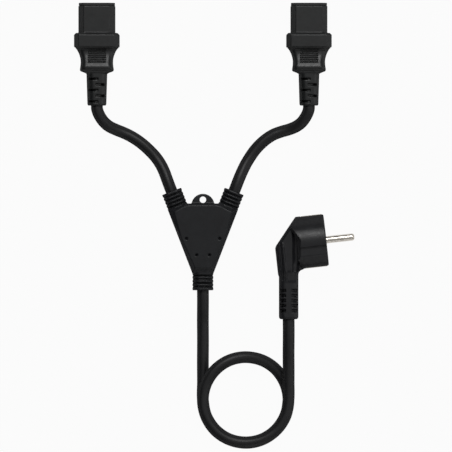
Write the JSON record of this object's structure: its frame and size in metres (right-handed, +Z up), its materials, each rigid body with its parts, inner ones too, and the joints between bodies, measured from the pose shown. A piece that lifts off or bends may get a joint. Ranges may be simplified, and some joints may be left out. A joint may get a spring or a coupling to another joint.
{
  "type": "power cord splitter",
  "caption": "Y-shaped mains splitter lead: an angled earthed plug and looped cable feed a moulded junction that branches into two female appliance connectors.",
  "frame": {"origin": "centre of the junction moulding's underside, on the surface that the lead lies on", "axes": "+Y along the junction towards the two appliance connectors, +X across it towards the plug, +Z up"},
  "size_m": [0.189, 0.3008, 0.0354],
  "materials": {
    "soft_pvc": "satin moulded soft PVC, near black",
    "cable_jacket": "smooth extruded PVC sheath, near black",
    "hard_insert": "hard moulded insert, near black",
    "nickel_plate": "nickel-plated brass, lightly brushed",
    "splice_copper": "pressed copper",
    "splice_tray": "plain moulded insulator",
    "core_line": "brown insulation",
    "core_neutral": "blue insulation",
    "core_earth": "green and yellow insulation"
  },
  "bodies": {
    "root": {"junction_moulding": "soft_pvc", "splice_tray": "splice_tray", "splice_crimp_line": "splice_copper", "main_core_line": "core_line", "left_core_line": "core_line", "right_core_line": "core_line", "splice_crimp_neutral": "splice_copper", "main_core_neutral": "core_neutral", "left_core_neutral": "core_neutral", "right_core_neutral": "core_neutral", "splice_crimp_earth": "splice_copper", "main_core_earth": "core_earth", "left_core_earth": "core_earth", "right_core_earth": "core_earth", "plug_moulding": "soft_pvc", "plug_bridge": "hard_insert", "plug_earth_strap": "nickel_plate", "plug_pin_upper": "nickel_plate", "plug_pin_lower": "nickel_plate", "plug_core_line": "core_line", "plug_core_neutral": "core_neutral", "plug_core_earth": "core_earth", "left_connector_moulding": "soft_pvc", "left_contact_carrier": "hard_insert", "left_contact_line": "nickel_plate", "left_connector_core_line": "core_line", "left_contact_neutral": "nickel_plate", "left_connector_core_neutral": "core_neutral", "left_contact_earth": "nickel_plate", "left_connector_core_earth": "core_earth", "right_connector_moulding": "soft_pvc", "right_contact_carrier": "hard_insert", "right_contact_line": "nickel_plate", "right_connector_core_line": "core_line", "right_contact_neutral": "nickel_plate", "right_connector_core_neutral": "core_neutral", "right_contact_earth": "nickel_plate", "right_connector_core_earth": "core_earth", "main_cord": "cable_jacket", "left_branch_cord": "cable_jacket", "right_branch_cord": "cable_jacket"}
  },
  "joints": []
}
